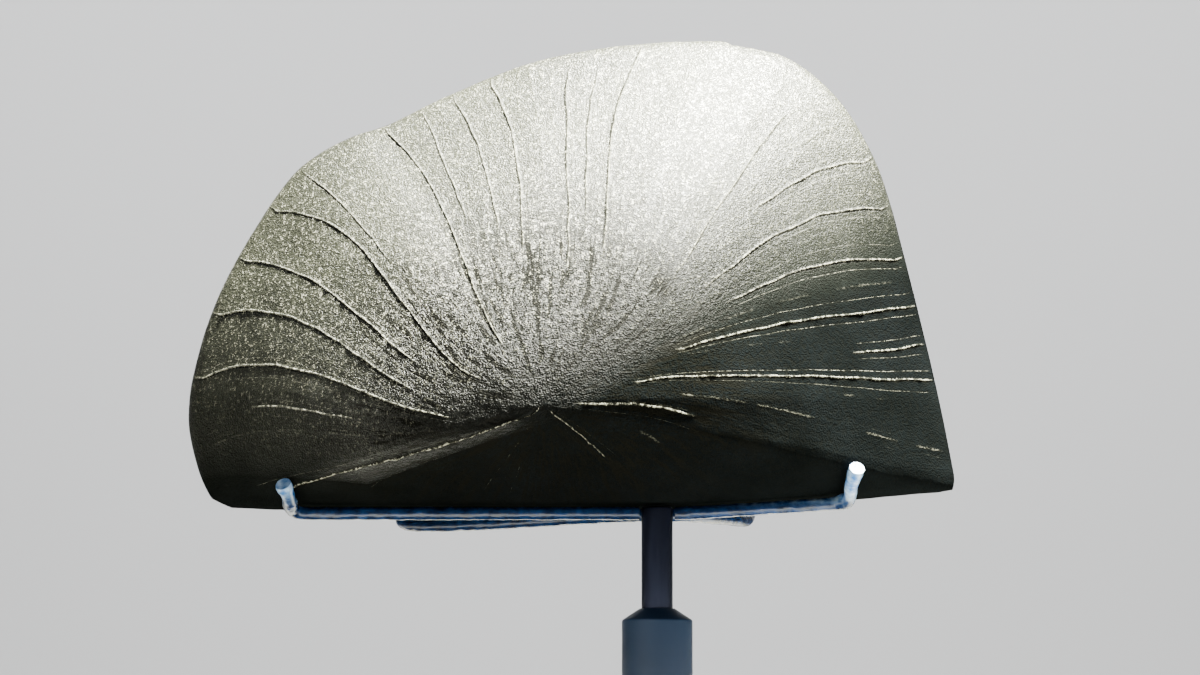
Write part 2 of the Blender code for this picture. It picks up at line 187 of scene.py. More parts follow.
# Thumb-print pits in the back: (x, z, radius, depth).
PITS = (
    (-38.0, 40.0, 15.0, 1.7), (-18.0, 52.0, 13.0, 1.4), (4.0, 47.0, 14.0, 1.8), (20.0, 30.0, 13.0, 1.5),
    (-2.0, 24.0, 15.0, 1.6), (-28.0, 22.0, 14.0, 1.8), (-50.0, 21.0, 12.0, 1.3), (22.0, 51.0, 10.0, 1.2),
)
PIT_EDGE = 3.0
# The pits and the lumps die out towards the rim between these shares.
PIT_FADE = (0.75, 1.0)
LUMP_SIZE = 17.0
LUMP_HEIGHT = 0.8
LUMP_SHEET = 7.3

# Where the prongs stand: x from the stem, and how high the tips reach over the foot.
FRONT_LEFT_X = -53.6
FRONT_LEFT_TIP = 3.4
FRONT_RIGHT_X = 28.0
FRONT_RIGHT_TIP = 5.0
REAR_LEFT_X = -38.4
REAR_RIGHT_X = 14.2
REAR_TIP = 8.5
YOKE_SAG = 0.8
PRONG_CLEARANCE = 0.55
PRONG_START = 0.4
PRONG_POINTS = 4
PROBE_STEP = 0.05
ARM_POINTS = 6
ARM_TURN = 2.2
ROUTE_STEPS = 5
EASING_ROUNDS = 12
# Where a sleeve bunches up: (share of its length, extra share of its radius), each over this share.
LEFT_BUNCHES = ((0.80, 0.15), (0.97, 0.3))
RIGHT_BUNCHES = ((0.68, 0.28), (0.97, 0.2))
BUNCH_WIDTH = 0.045

# Painted shade: the crust's colour is painted darker and its sheen duller downwards, and up the right
# flank, where less light falls. At each x it starts at the high value over the foot, and is darkest
# from the low one down.
PAINTED_SHADE_X = (-62.0, -42.0, -12.0, 14.0, 28.0, 40.0)
PAINTED_SHADE_LOW = (-2.0, -2.0, 2.0, 20.0, 26.0, 32.0)
PAINTED_SHADE_HIGH = (36.0, 24.0, 55.0, 62.0, 68.0, 80.0)
PAINTED_SHADE_POWER = 0.8
# How far from the nose the crust is thick, dark and coarse.
COARSE_REACH = 32.0

# Sizes of the materials' patterns. The crust's finest grain and the steel's drawn lines are under
# 0.1 mm, too fine to show, so both are drawn coarser here.
FINE_GRAIN = 0.23
COARSE_GRAIN = 0.67
GROOVE_WIDTH = 0.8
GROOVE_LENGTH = 9.0
GROOVE_FADE = (1.5, 5.0)
CRUST_PATCH = 12.5
SLEEVE_FOLD = 1.4
DRAWN_LINE = 0.42
PAINT_PEEL = 1.1
PAINT_WEAR = 17.0
# Along the rod the drawn lines' pattern has this share of its scale: they are 20 times as long as wide.
DRAWN_STRETCH = 0.05
# The crust's noise is taken on sheets this far apart, one for each ring, so that no two look alike.
SHEET_SPACING = 5.3

# The stage: a floor and a backdrop, out to STAGE_HALF on each side.
STAGE_HALF = 3000.0
WALL_Y = 1200.0
WALL_LOW = -1000.0
WALL_HIGH = 3000.0
# Each light: (place, target, width and height, watts, spread in degrees, colour).
KEY = ((120.0, -55.0, 460.0), (20.0, 0.0, 90.0), (140.0, 140.0), 3.2, 36.0, (1.0, 1.0, 0.88))
FILL = ((-450.0, -500.0, 500.0), (-8.0, 0.0, 75.0), (600.0, 600.0), 0.26, 50.0, (0.93, 0.96, 1.0))
WALL = ((0.0, 700.0, 900.0), (0.0, 1200.0, 200.0), (1200.0, 500.0), 8.0, 70.0, (1.0, 1.0, 1.0))
ROOM_COLOUR = (0.9, 0.93, 1.0, 1.0)
ROOM_STRENGTH = 0.05

# The photo's viewpoint: a little below the stone, looking slightly up.
CAMERA_RISE = math.radians(-6.0)
CAMERA_DISTANCE = 600.0
CAMERA_TARGET = (-8.4, 8.0, 68.6)
PICTURE_WIDTH = 180.0
SENSOR = 36.0
CLIP_START = 10.0

SEED = 7
DICE = np.random.default_rng(SEED)


def smooth_step(low, high, value):
    share = np.clip((value - low) / (high - low), 0.0, 1.0)
    return share * share * (3.0 - 2.0 * share)


def smooth_route(points, steps):
    """The points joined by a Catmull-Rom curve, with steps pieces to each stretch."""
    ends = np.array([points[0], *points, points[-1]], float)
    shares = np.arange(steps)[:, None] / steps
    parts = []
    for b, a, c, d in zip(ends, ends[1:], ends[2:], ends[3:]):
        bend = 2 * b - 5 * a + 4 * c - d
        twist = 3 * a - b - 3 * c + d
        parts.append(0.5 * (2 * a + (c - b) * shares + bend * shares**2 + twist * shares**3))
    return np.vstack([*parts, ends[-1:]])


def rim_table(centre_x, centre_z):
    """The rim as seen from a point inside it: rising angles, and the distance at each."""
    corners = np.vstack([smooth_route(RIM, RIM_STEPS), RIM_CORNERS_BELOW, RIM[:1]])
    pieces = []
    for start, end in zip(corners, corners[1:]):
        count = max(1, round(float(np.linalg.norm(end - start)) / RIM_SPACING))
        pieces.append(start + (end - start) * np.arange(count)[:, None] / count)
    line = np.vstack(pieces) - (centre_x, centre_z)
    angles = np.arctan2(line[:, 1], line[:, 0]) % math.tau
    order = np.argsort(angles)
    return angles[order], np.hypot(line[:, 0], line[:, 1])[order]


FROM_NOSE = rim_table(NOSE_X, NOSE_Z)
FROM_BACK = rim_table(BACK_X, BACK_Z)


def reach_at(table, angle):
    """The rim's distance at an angle, from one of the two tables."""
    return np.interp(np.asarray(angle) % math.tau, *table, period=math.tau)


def foot_share(x, z):
    """How far the rim opens into the flat foot there: 1 under the middle, 0 round the sides."""
    spread = np.minimum(1.0, np.abs(x - FOOT_MIDDLE) / FOOT_HALF)
    return (1.0 - spread**FOOT_POWER) * (1.0 - smooth_step(0.0, FOOT_FADE, z - FOOT_LIFT))


def shoulder(angle_deg, share):
    """How far the two shoulders bulge forwards there, in mm."""
    bulge = 0.0
    for middle, above, below, height in SHOULDERS:
        dip = SHOULDER_DIP * (1.0 - smooth_step(*SHOULDER_DIP_SHARES, share)) if middle > 90.0 else 0.0
        turn = (angle_deg - middle - dip + 180.0) % 360.0 - 180.0
        upwards = turn if middle < 90.0 else -turn
        spread = np.where(upwards > 0.0, above, below)
        bulge = bulge + height * np.exp(-(np.abs(turn / spread) ** SHOULDER_EDGE))
    return bulge * np.sin(math.pi * share) * smooth_step(0.0, SHOULDER_START, share)


def lip(reach, share):
    """How far the surface has curled away from its own slope, close to the rim."""
    start = 1.0 - LIP_WIDTH / reach
    return RIM_HALF * (1.0 - np.sqrt(1.0 - np.clip((share - start) / (1.0 - start), 0.0, 1.0) ** 2))


def front_place(angle, share):
    """x, y and z of the smooth front, share of the way from the nose to the rim."""
    reach = reach_at(FROM_NOSE, angle)
    across, up = np.cos(angle), np.sin(angle)
    opening = foot_share(NOSE_X + reach * across, NOSE_Z + reach * up)
    rim_reach = RIM_HALF + (FOOT_FRONT - RIM_HALF) * opening
    fall = (np.hypot(share, NOSE_ROUND) - NOSE_ROUND) / (math.hypot(1.0, NOSE_ROUND) - NOSE_ROUND)
    forward = rim_reach + (NOSE_REACH - rim_reach) * (1.0 - fall)
    forward = forward + shoulder(np.degrees(angle) % 360.0, share) - lip(reach, share)
    return NOSE_X + share * reach * across, RIM_Y - forward, NOSE_Z + share * reach * up


def back_place(rim_x, rim_z, share):
    """x, y and z of the back, share of the way from its middle to a point of the rim."""
    x = BACK_X + share * (rim_x - BACK_X)
    z = BACK_Z + share * (rim_z - BACK_Z)
    rim_depth = RIM_HALF + (FOOT_BACK - RIM_HALF) * foot_share(rim_x, rim_z)
    oval = np.hypot((x - BACK_X) / BACK_WIDE, (z - BACK_Z) / BACK_TALL)
    inner = (1.0 - share**4) * oval**BACK_POWER + share**4 * share**BACK_POWER
    depth = rim_depth + (BACK_REACH - rim_depth) * (1.0 - inner)
    depth = depth - lip(np.hypot(rim_x - BACK_X, rim_z - BACK_Z), share)
    inside = 1.0 - smooth_step(*PIT_FADE, share)
    for pit_x, pit_z, radius, pit_depth in PITS:
        away = ((x - pit_x) ** 2 + (z - pit_z) ** 2) / radius**2
        depth = depth - inside * pit_depth * np.exp(-PIT_EDGE * away)
    flat_x, flat_z = np.atleast_1d(x) / LUMP_SIZE, np.atleast_1d(z) / LUMP_SIZE
    pairs = zip(flat_x.ravel(), flat_z.ravel())
    lumps = np.array([noise.noise(Vector((a, LUMP_SHEET, b))) for a, b in pairs])
    depth = depth + inside * LUMP_HEIGHT * lumps.reshape(np.shape(x))
    return x, RIM_Y + depth, z


def front_at(x, z):
    """The point of the smooth front at that x and z."""
    angle = math.atan2(z - NOSE_Z, x - NOSE_X)
    share = math.hypot(x - NOSE_X, z - NOSE_Z) / reach_at(FROM_NOSE, angle)
    return Vector([float(v) for v in front_place(angle, share)])


def back_at(x, z):
    """The point of the back at that x and z."""
    angle = math.atan2(z - BACK_Z, x - BACK_X)
    reach = reach_at(FROM_BACK, angle)
    share = math.hypot(x - BACK_X, z - BACK_Z) / reach
    rim_x, rim_z = BACK_X + reach * math.cos(angle), BACK_Z + reach * math.sin(angle)
    return Vector([float(v) for v in back_place(rim_x, rim_z, share)])


def ridge_angles(row, share):
    """A ridge's angle at each share: the parabola through its three stations, and its bend."""
    s = np.maximum(share, RIDGE_STATIONS[2])
    total = 0.0
    for i, station in enumerate(RIDGE_STATIONS):
        others = [other for other in RIDGE_STATIONS if other != station]
        weight = (s - others[0]) * (s - others[1]) / ((station - others[0]) * (station - others[1]))
        total = total + weight * row[i]
    return total + row[6] * (1.0 - smooth_step(*RIDGE_BEND, share))


def rise_and_fall(start, end, share):
    """1 along a ridge and 0 past its ends. A ridge that reaches the rim doesn't fall there."""
    rise = smooth_step(start, start + RIDGE_FADE, share)
    return rise * (1.0 - smooth_step(end - RIDGE_FADE, end, share)) if end < 1.0 else rise


def wander(shares):
    """A smooth random line between about -1 and 1."""
    knots = np.linspace(0.0, 1.0, WANDER_KNOTS)
    return np.interp(shares, knots, DICE.uniform(-1.0, 1.0, len(knots)))


def crust_lines(shares):
    """Every ridge round the nose, in order.

    Gives each one's angle and height at each share, and the columns beside its crest.
    """
    main = [ridge_angles(row, shares) for row in RIDGES]
    lines = []
    for i, row in enumerate(RIDGES):
        start = main[i]
        turn = (main[(i + 1) % len(RIDGES)] - start) % 360.0
        wobble = WOBBLE * wander(shares) / np.radians(np.maximum(WOBBLE_FROM, shares * MEAN_REACH))
        height = row[5] * rise_and_fall(row[3], row[4], shares)
        height = height * (RIDGE_EVEN + RIDGE_UNEVEN * wander(shares))
        lines.append((start + wobble, height, CREST_SIDES))
        halfway = math.radians(row[0] + turn[-1] / 2)
        length = math.radians(turn[-1]) * float(reach_at(FROM_NOSE, halfway))
        count = int(length / FINE_SPACING)
        for k in range(1, count + 1):
            between = (k + DICE.uniform(-FINE_SHIFT, FINE_SHIFT)) / (count + 1)
            sway = DICE.uniform(-FINE_SWAY, FINE_SWAY) / (count + 1)
            height = DICE.uniform(*FINE_HEIGHT) * rise_and_fall(
                DICE.uniform(*FINE_START), DICE.uniform(*FINE_END), shares
            )
            height = height * np.clip(FINE_EVEN + FINE_UNEVEN * wander(shares), 0.0, 1.0)
            place = between + sway * np.sin(FINE_SWAY_TURNS * shares + k)
            lines.append((start + turn * place, height, FINE_SIDES))
    return lines


def front_columns(shares):
    """The mesh's lines from nose to rim, as arrays of columns by shares.

    Gives each point's angle, its distance from the nearest ridge in mm, that ridge's height, and each
    column's place on a circle of the mean reach in mm.
    """
    lines = crust_lines(shares)
    reach = np.maximum(NEAR_REACH, shares * MEAN_REACH)
    angles, asides, heights = [], [], []

    def add(line, aside, height, from_nearest=None):
        angles.append(line + np.degrees(aside / reach))
        asides.append(aside if from_nearest is None else from_nearest)
        heights.append(height)

    for k, (line, height, sides) in enumerate(lines):
        following, next_height, next_sides = lines[(k + 1) % len(lines)]
        turn = np.radians((following - line) % 360.0) * reach
        back_turn = np.radians((line - lines[k - 1][0]) % 360.0) * reach
        for aside, limit in reversed(sides):
            add(line, -np.minimum(aside, back_turn * limit), height)
        add(line, np.zeros_like(shares), height)
        for aside, limit in sides:
            add(line, np.minimum(aside, turn * limit), height)
        outer = np.minimum(sides[-1][0], turn * sides[-1][1])
        room = turn - outer - np.minimum(next_sides[-1][0], turn * next_sides[-1][1])
        count = int(room[-1] / FILL_WIDTH)
        for i in range(1, count + 1):
            aside = outer + room * i / (count + 1)
            near = aside < turn / 2
            from_nearest = np.where(near, aside, aside - turn)
            add(line, aside, np.where(near, height, next_height), from_nearest)
    angles = np.array(angles)
    first = int(np.argmin(np.abs((angles[:, -1] - SEAM_ANGLE + 180.0) % 360.0 - 180.0)))
    radians = np.radians(np.roll(angles, -first, axis=0))
    asides = np.roll(np.array(asides), -first, axis=0)
    heights = np.roll(np.array(heights), -first, axis=0)
    # The flip puts the painted shadow line beside each ridge on its side away from the light.
    asides = asides * np.where(np.cos(radians) > LIGHT_SIDE, -1.0, 1.0)
    turns = np.diff(radians[:, -1], prepend=radians[0, -1]) % math.tau
    around = np.cumsum(turns) * MEAN_REACH
    return radians, asides, heights, around


def stone_rings():
    """The stone's rings from nose to tail, each (columns, 3), and for each ring its ridge values."""
    steps = np.linspace(0.0, 1.0, FRONT_RINGS)
    shares = FRONT_FIRST_RING + (1.0 - FRONT_FIRST_RING) * steps**FRONT_CROWDING
    angles, asides, heights, around = front_columns(shares)
    reach = reach_at(FROM_NOSE, angles)
    inner = shares * (1.0 - LIP_WIDTH / reach)
    rings = list(np.stack(front_place(angles, inner), axis=2).transpose(1, 0, 2))
    values = [(asides[:, k], heights[:, k]) for k in range(FRONT_RINGS)]
    rim_angles, rim_reach = angles[:, -1], reach[:, -1]
    for step in LIP_STEPS:
        share = 1.0 - (1.0 - step) * LIP_WIDTH / rim_reach
        rings.append(np.stack(front_place(rim_angles, share), axis=1))
        values.append((asides[:, -1], heights[:, -1] * (1.0 - step)))
    rim = rings[-1]
    plain = (np.full(len(rim), FAR_ASIDE), np.zeros(len(rim)))
    back_reach = np.hypot(rim[:, 0] - BACK_X, rim[:, 2] - BACK_Z)
    behind = back_place(rim[:, 0], rim[:, 2], np.ones(len(rim)))[1]
    for i in range(1, FOOT_RINGS):
        ring = rim.copy()
        ring[:, 1] += (behind - rim[:, 1]) * i / FOOT_RINGS
        rings.append(ring)
        values.append(plain)
    for step in reversed(LIP_STEPS):
        share = 1.0 - (1.0 - step) * LIP_WIDTH / back_reach
        rings.append(np.stack(back_place(rim[:, 0], rim[:, 2], share), axis=1))
        values.append(plain)
    start = 1.0 - LIP_WIDTH / back_reach
    for k in range(BACK_RINGS):
        share = start * (1.0 - (1.0 - BACK_LAST_RING) * (k / (BACK_RINGS - 1)) ** BACK_CROWDING)
        rings.append(np.stack(back_place(rim[:, 0], rim[:, 2], share), axis=1))
        values.append(plain)
    return rings, values, around


def float_layer(mesh, name, values):
    layer = mesh.attributes.new(name, "FLOAT", "POINT")
    layer.data.foreach_set("value", np.asarray(values, np.float32))


def closed_faces(count, rings):
    """The faces over rings of count points each, closed by one point at either end."""
    columns = np.arange(count)
    following = (columns + 1) % count
    pairs = list(zip(columns.tolist(), following.tolist()))
    faces = [(0, 1 + i, 1 + j) for i, j in pairs]
    for ring in range(rings - 1):
        start = 1 + ring * count
        outer = start + count
        corners = (start + columns, outer + columns, outer + following, start + following)
        faces += np.stack(corners, axis=1).tolist()
    last = 1 + rings * count
    return faces + [(last, last - count + j, last - count + i) for i, j in pairs]


def stone_mesh():
    """The smooth stone, with the values that its relief and its material are made from."""
    rings, values, around = stone_rings()
    count = len(rings[0])
    nose = np.array([[float(v) for v in front_place(0.0, 0.0)]])
    tail = np.array([[float(v) for v in back_place(*RIM[0], 0.0)]])
    places = np.vstack([nose, *rings, tail])
    faces = closed_faces(count, len(rings))
    steps = np.diff(np.stack([np.tile(nose, (count, 1)), *rings]), axis=0)
    lengths = np.cumsum(np.linalg.norm(steps, axis=2), axis=0)
    from_nose = np.concatenate([[0.0], lengths.ravel(), [lengths.max()]])
    front = places[:, 1] < RIM_Y
    mesh = bpy.data.meshes.new("meteorite_crust")
    mesh.from_pydata(((places + (0.0, 0.0, STONE_FOOT)) * MM).tolist(), [], faces)
    mesh.update()
    float_layer(mesh, "aside", np.concatenate([[FAR_ASIDE], *(v[0] for v in values), [FAR_ASIDE]]))
    float_layer(mesh, "crest", np.concatenate([[0.0], *(v[1] for v in values), [0.0]]))
    float_layer(mesh, "coarse", np.exp(-((from_nose / COARSE_REACH) ** 2)) * front)
    float_layer(mesh, "round_rim", np.concatenate([[0.0], *(around for _ in rings), [0.0]]))
    float_layer(mesh, "from_nose", from_nose)
    float_layer(mesh, "front", front * smooth_step(*GROOVE_FADE, from_nose))
    # below is painted shade: 1 where the crust is painted darkest and dullest, low on the stone.
    low = np.interp(places[:, 0], PAINTED_SHADE_X, PAINTED_SHADE_LOW)
    high = np.interp(places[:, 0], PAINTED_SHADE_X, PAINTED_SHADE_HIGH)
    float_layer(mesh, "below", (1.0 - smooth_step(low, high, places[:, 2])) ** PAINTED_SHADE_POWER)
    mesh.shade_smooth()
    return mesh


def add_node(tree, kind, inputs=(), out=0, **settings):
    """Adds a node and gives one of its outputs.

    The inputs, by name or in order, are plain values or other nodes' outputs.
    """
    node = tree.nodes.new(kind)
    for name, value in settings.items():
        setattr(node, name, value)
    for name, value in inputs.items() if isinstance(inputs, dict) else enumerate(inputs):
        if isinstance(value, bpy.types.NodeSocket):
            tree.links.new(value, node.inputs[name])
        else:
            node.inputs[name].default_value = value
    return node.outputs[out]


MATH = "ShaderNodeMath"
RANGE = "ShaderNodeMapRange"
MIX = "ShaderNodeMix"
NOISE = "ShaderNodeTexNoise"


def srgb(code):
    """A hex colour as linear RGBA."""
    values = [int(code[i : i + 2], 16) / 255.0 for i in (1, 3, 5)]
    linear = [v / 12.92 if v <= 0.04045 else ((v + 0.055) / 1.055) ** 2.4 for v in values]
    return (*linear, 1.0)


def new_material(name):
    material = bpy.data.materials.new(name)
    material.use_nodes = True
    tree = material.node_tree
    return material, tree, tree.nodes["Principled BSDF"]


def flow_noise(add, layers, across, along):
    """Noise in lumps of about across by along mm, which lie along the crust's flow.

    The pattern is drawn round the nose in rings that each double the last one's radius, so that its
    lumps keep their width, and each ring fades into the next.
    """
    reach = add(MATH, (layers["from_nose"], 1.0), operation="MAXIMUM")
    doublings = add(MATH, (reach, 2.0), operation="LOGARITHM")
    ring = add(MATH, (doublings,), operation="FLOOR")
    fade = add(MATH, (doublings,), operation="FRACT")
    fade = add(RANGE, (fade,), interpolation_type="SMOOTHSTEP")
    radial = add(MATH, (reach, along), operation="DIVIDE")
    fields = []
    for extra in (0.0, 1.0):
        number = add(MATH, (ring, extra), operation="ADD")
        turns = add(MATH, (2.0, number), operation="POWER")
        turns = add(MATH, (turns, layers["round_rim"]), operation="MULTIPLY")
        round_nose = add(MATH, (turns, MEAN_REACH * across), operation="DIVIDE")
        sheet = add(MATH, (number, SHEET_SPACING), operation="MULTIPLY")
        point = add("ShaderNodeCombineXYZ", (round_nose, radial, sheet))
        fields.append(add(NOISE, {"Vector": point, "Scale": 1.0, "Detail": 3.0, "Roughness": 0.6}))
    return add(MIX, {0: fade, 2: fields[0], 3: fields[1]}, data_type="FLOAT")


def per_size(size):
    """The noise scale whose lumps are that many millimetres across."""
    return 1.0 / (size * MM)


def crust_material():
    """Fusion crust, once molten glass: satin olive grey, beaded ridges, a coarse dark nose, and painted
    shade and highlights.
    """
    material, tree, shader = new_material("fusion crust, satin olive grey glass")
    add = partial(add_node, tree)
    place = add("ShaderNodeTexCoord", out="Object")
    names = ("aside", "crest", "coarse", "round_rim", "from_nose", "front", "below")
    layers = {name: add("ShaderNodeAttribute", out="Fac", attribute_name=name) for name in names}
    streaks = flow_noise(add, layers, GROOVE_WIDTH, GROOVE_LENGTH)
    fine = add(NOISE, {"Vector": place, "Scale": per_size(FINE_GRAIN), "Detail": 1.0})
    grain = add(NOISE, {"Vector": place, "Scale": per_size(COARSE_GRAIN), "Detail": 2.0})
    # Paler towards the rim, darker where the crust lies thick by the nose, and painted near black as
    # shade on the face below it.
    patches = add(NOISE, {"Vector": place, "Scale": per_size(CRUST_PATCH), "Detail": 5.0})
    patches = add(RANGE, (patches, 0.30, 0.72))
    outer = add(MIX, {0: patches, 6: srgb("#303227"), 7: srgb("#484a3c")}, out=2, data_type="RGBA")
    inner = add(MIX, {0: patches, 6: srgb("#15150f"), 7: srgb("#22201a")}, out=2, data_type="RGBA")
    # under is the painted shade of the lower face, near black.
    under = add(MIX, {0: patches, 6: srgb("#070909"), 7: srgb("#0e1112")}, out=2, data_type="RGBA")
    base = add(MIX, {0: layers["coarse"], 6: outer, 7: inner}, out=2, data_type="RGBA")
    base = add(MIX, {0: layers["below"], 6: base, 7: under}, out=2, data_type="RGBA")
    # Grains of two sizes with dark pits between them, deeper near the nose, and short grooves there.
    speckle = add(MIX, {0: 0.4, 2: fine, 3: grain}, data_type="FLOAT")
    pit_depth = add(RANGE, (layers["coarse"], 0.05, 0.6, 0.42, 0.95))
    pits = add(RANGE, (speckle, 0.41, 0.55, pit_depth, 0.0), interpolation_type="SMOOTHSTEP")
    groove_depth = add(RANGE, (layers["coarse"], 0.08, 0.5, 0.05, 0.95))
    groove_depth = add(MATH, (groove_depth, layers["front"]), operation="MULTIPLY")
    grooves = add(RANGE, (streaks, 0.43, 0.49, groove_depth, 0.0), interpolation_type="SMOOTHSTEP")
    # The ridges wander by a grain's width. Their crests carry painted highlights as pale beads, with a
    # painted shadow line beside them.
    jag = add(MATH, (fine, 0.5, -0.25), operation="MULTIPLY_ADD")
    offset = add(MATH, (layers["aside"], jag), operation="ADD")
    away = add(MATH, (offset,), operation="ABSOLUTE")
    height = add(RANGE, (layers["crest"], 0.05, 0.32))
    beads = add(RANGE, (grain, 0.45, 0.56, 0.08, 1.0))
    beads = add(MATH, (beads, height), operation="MULTIPLY")
    top = add(RANGE, (away, 0.03, 0.14, beads, 0.0), interpolation_type="SMOOTHSTEP")
    beside = add(MATH, (offset, -0.27), operation="ADD")
    beside = add(MATH, (beside,), operation="ABSOLUTE")
    faint = add(MATH, (height, 0.95), operation="MULTIPLY")
    line = add(RANGE, (beside, 0.05, 0.19, faint, 0.0), interpolation_type="SMOOTHSTEP")
    hollow = add(MATH, (pits, grooves), operation="MAXIMUM")
    # The painted shadow line joins the dark pits and grooves here.
    hollow = add(MATH, (hollow, line), operation="MAXIMUM")
    dark = add(MIX, {0: hollow, 6: base, 7: srgb("#0e0e0b")}, out=2, data_type="RGBA")
    # The pale specks are painted glints, and they die out down the face with the painted shade. The
    # painted highlights on the beads are weaker there, and far from the nose.
    glint_share = add(RANGE, (layers["below"], 0.0, 0.9, 0.9, 0.0))
    painted_glints = add(RANGE, (speckle, 0.58, 0.65, 0.0, glint_share), interpolation_type="SMOOTHSTEP")
    bead_shade_share = add(RANGE, (layers["below"], 0.0, 1.0, 1.0, 0.7))
    top = add(MATH, (top, bead_shade_share), operation="MULTIPLY")
    near_share = add(MATH, (layers["coarse"], layers["below"]), operation="MAXIMUM")
    near_share = add(RANGE, (near_share, 0.0, 0.4, 0.4, 1.0))
    top = add(MATH, (top, near_share), operation="MULTIPLY")
    pale = add(MATH, (top, painted_glints), operation="MAXIMUM")
    colour = add(MIX, {0: pale, 6: dark, 7: srgb("#cfcdb8")}, out=2, data_type="RGBA")
    tree.links.new(colour, shader.inputs["Base Color"])
    # Gloss varies from grain to grain, so the crust sparkles. Hollows are dull, and the lower face is
    # dulled as part of its painted shade.
    gloss = add(RANGE, (fine, 0.3, 0.7, 0.46, 0.26))
    gloss = add(MATH, (hollow, 0.2, gloss), operation="MULTIPLY_ADD")
    tree.links.new(gloss, shader.inputs["Roughness"])
    dull = add(MATH, (layers["below"], 1.06), operation="MULTIPLY")
    dull = add(MATH, (dull, hollow), operation="MAXIMUM")
    shine = add(RANGE, (dull, 0.0, 1.0, 0.5, 0.0))
    tree.links.new(shine, shader.inputs["Specular IOR Level"])
    shader.inputs["IOR"].default_value = 1.75
    grain_depth = add(RANGE, (layers["coarse"], 0.0, 0.6, 0.5, 1.1))
    relief = add(MATH, (speckle, grain_depth), operation="MULTIPLY")
    relief = add(MATH, (top, 0.30, relief), operation="MULTIPLY_ADD")
    relief = add(MATH, (hollow, -0.15, relief), operation="MULTIPLY_ADD")
    bump = add("ShaderNodeBump", {"Strength": 1.0, "Distance": 0.4 * MM, "Height": relief})
    tree.links.new(bump, shader.inputs["Normal"])
    return material


def sleeve_material():
    """Thin blue plastic sleeve, wrinkled and glossy: dark navy on the bars as painted shade under the
    stone, and pale blue on the prongs, partly painted light and partly the cloudy look of plastic
    stretched there.
    """
    material, tree, shader = new_material("wrinkled blue plastic sleeve")
    add = partial(add_node, tree)
    place = add("ShaderNodeTexCoord", out="Object")
    folds = add(NOISE, {"Vector": place, "Scale": per_size(SLEEVE_FOLD), "Detail": 4.0})
    prong_light = add("ShaderNodeAttribute", out="Fac", attribute_name="prong")
    tone = add(RANGE, (folds, 0.35, 0.68))
    # The bars' dark navy is painted shade under the stone; the prongs' pale blue is partly painted
    # light.
    shaded_bar_blue = add(MIX, {0: tone, 6: srgb("#0a1a36"), 7: srgb("#12305c")}, out=2, data_type="RGBA")
    lit_prong_blue = add(MIX, {0: tone, 6: srgb("#2c6cb4"), 7: srgb("#b4d2ee")}, out=2, data_type="RGBA")
    colour = add(MIX, {0: prong_light, 6: shaded_bar_blue, 7: lit_prong_blue}, out=2, data_type="RGBA")
    tree.links.new(colour, shader.inputs["Base Color"])
    shader.inputs["Roughness"].default_value = 0.24
    shader.inputs["Subsurface Weight"].default_value = 0.25
    shader.inputs["Subsurface Radius"].default_value = (0.4 * MM, 0.6 * MM, 1.0 * MM)
    bump = add("ShaderNodeBump", {"Strength": 0.6, "Distance": 0.3 * MM, "Height": folds})
    tree.links.new(bump, shader.inputs["Normal"])
    return material


def steel_material():
    """Blued steel rod, dark with faint drawn lines along it."""
    material, tree, shader = new_material("blued steel rod")
    add = partial(add_node, tree)
    place = add("ShaderNodeTexCoord", out="Object")
    along = add("ShaderNodeMapping", {"Vector": place, "Scale": (1.0, 1.0, DRAWN_STRETCH)})
    lines = add(NOISE, {"Vector": along, "Scale": per_size(DRAWN_LINE), "Detail": 3.0})
    shader.inputs["Base Color"].default_value = srgb("#33374a")
    shader.inputs["Metallic"].default_value = 1.0
    rough = add(RANGE, (lines, 0.0, 1.0, 0.28, 0.5))
    tree.links.new(rough, shader.inputs["Roughness"])
    bump = add("ShaderNodeBump", {"Strength": 0.2, "Distance": 0.1 * MM, "Height": lines})
    tree.links.new(bump, shader.inputs["Normal"])
    return material


def paint_material():
    """Satin slate blue paint on turned metal, with a faint orange-peel skin."""
    material, tree, shader = new_material("satin slate blue paint")
    add = partial(add_node, tree)
    place = add("ShaderNodeTexCoord", out="Object")
    skin = add(NOISE, {"Vector": place, "Scale": per_size(PAINT_PEEL), "Detail": 2.0})
    wear = add(NOISE, {"Vector": place, "Scale": per_size(PAINT_WEAR), "Detail": 6.0})
    tone = add(RANGE, (wear, 0.35, 0.72))
    colour = add(MIX, {0: tone, 6: srgb("#1b2c44"), 7: srgb("#273c58")}, out=2, data_type="RGBA")
    tree.links.new(colour, shader.inputs["Base Color"])
    rough = add(RANGE, (wear, 0.0, 1.0, 0.36, 0.52))
    tree.links.new(rough, shader.inputs["Roughness"])
    bump = add("ShaderNodeBump", {"Strength": 0.12, "Distance": 0.2 * MM, "Height": skin})
    tree.links.new(bump, shader.inputs["Normal"])
    return material


def new_tree(name, inputs):
    """A geometry tree with geometry in and out, and named inputs: (name, socket kind, value)."""
    tree = bpy.data.node_groups.new(name, "GeometryNodeTree")
    tree.interface.new_socket("Geometry", in_out="INPUT", socket_type="NodeSocketGeometry")
    tree.interface.new_socket("Geometry", in_out="OUTPUT", socket_type="NodeSocketGeometry")
    for label, kind, value in inputs:
        socket = tree.interface.new_socket(label, in_out="INPUT", socket_type=kind)
        if value is not None:
            socket.default_value = value
    return tree, tree.nodes.new("NodeGroupInput").outputs


def end_tree(tree, geometry, material):
    """Ends a tree with real geometry in one material."""
    real = add_node(tree, "GeometryNodeRealizeInstances", (geometry,))
    painted = add_node(tree, "GeometryNodeSetMaterial", {0: real, "Material": material})
    tree.links.new(painted, tree.nodes.new("NodeGroupOutput").inputs[0])


